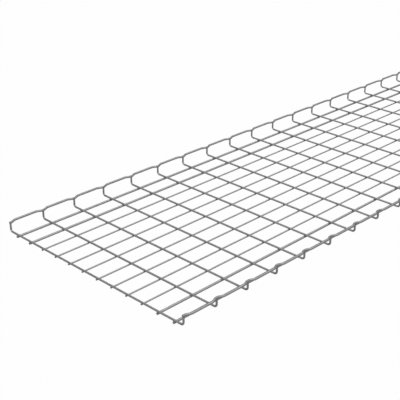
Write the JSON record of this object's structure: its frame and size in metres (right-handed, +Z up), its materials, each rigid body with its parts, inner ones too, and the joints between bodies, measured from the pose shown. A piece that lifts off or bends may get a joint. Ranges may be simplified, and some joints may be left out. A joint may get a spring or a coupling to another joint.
{
  "type": "wire mesh cable basket",
  "caption": "Shallow wide cable basket of welded steel wire mesh, with upright sides and outward waved edge wires, open at the top and at both ends.",
  "frame": {"origin": "middle of the basket, at the level that its heavy floor wires rest on", "axes": "+X along the basket, +Y towards its left side, +Z up out of its open top"},
  "size_m": [3.005, 0.623, 0.035],
  "materials": {
    "zinc_wire": "zinc plated steel wire"
  },
  "bodies": {
    "root": {"floor_wire_01": "zinc_wire", "floor_wire_02": "zinc_wire", "floor_wire_03": "zinc_wire", "floor_wire_04": "zinc_wire", "floor_wire_05": "zinc_wire", "floor_wire_06": "zinc_wire", "floor_wire_07": "zinc_wire", "floor_wire_08": "zinc_wire", "floor_wire_09": "zinc_wire", "floor_wire_10": "zinc_wire", "floor_wire_11": "zinc_wire", "floor_wire_12": "zinc_wire", "cross_wire_01": "zinc_wire", "cross_wire_02": "zinc_wire", "cross_wire_03": "zinc_wire", "cross_wire_04": "zinc_wire", "cross_wire_05": "zinc_wire", "cross_wire_06": "zinc_wire", "cross_wire_07": "zinc_wire", "cross_wire_08": "zinc_wire", "cross_wire_09": "zinc_wire", "cross_wire_10": "zinc_wire", "cross_wire_11": "zinc_wire", "cross_wire_12": "zinc_wire", "cross_wire_13": "zinc_wire", "cross_wire_14": "zinc_wire", "cross_wire_15": "zinc_wire", "cross_wire_16": "zinc_wire", "cross_wire_17": "zinc_wire", "cross_wire_18": "zinc_wire", "cross_wire_19": "zinc_wire", "cross_wire_20": "zinc_wire", "cross_wire_21": "zinc_wire", "cross_wire_22": "zinc_wire", "cross_wire_23": "zinc_wire", "cross_wire_24": "zinc_wire", "cross_wire_25": "zinc_wire", "cross_wire_26": "zinc_wire", "cross_wire_27": "zinc_wire", "cross_wire_28": "zinc_wire", "cross_wire_29": "zinc_wire", "cross_wire_30": "zinc_wire", "cross_wire_31": "zinc_wire", "left_edge_wire": "zinc_wire", "right_edge_wire": "zinc_wire"}
  },
  "joints": []
}
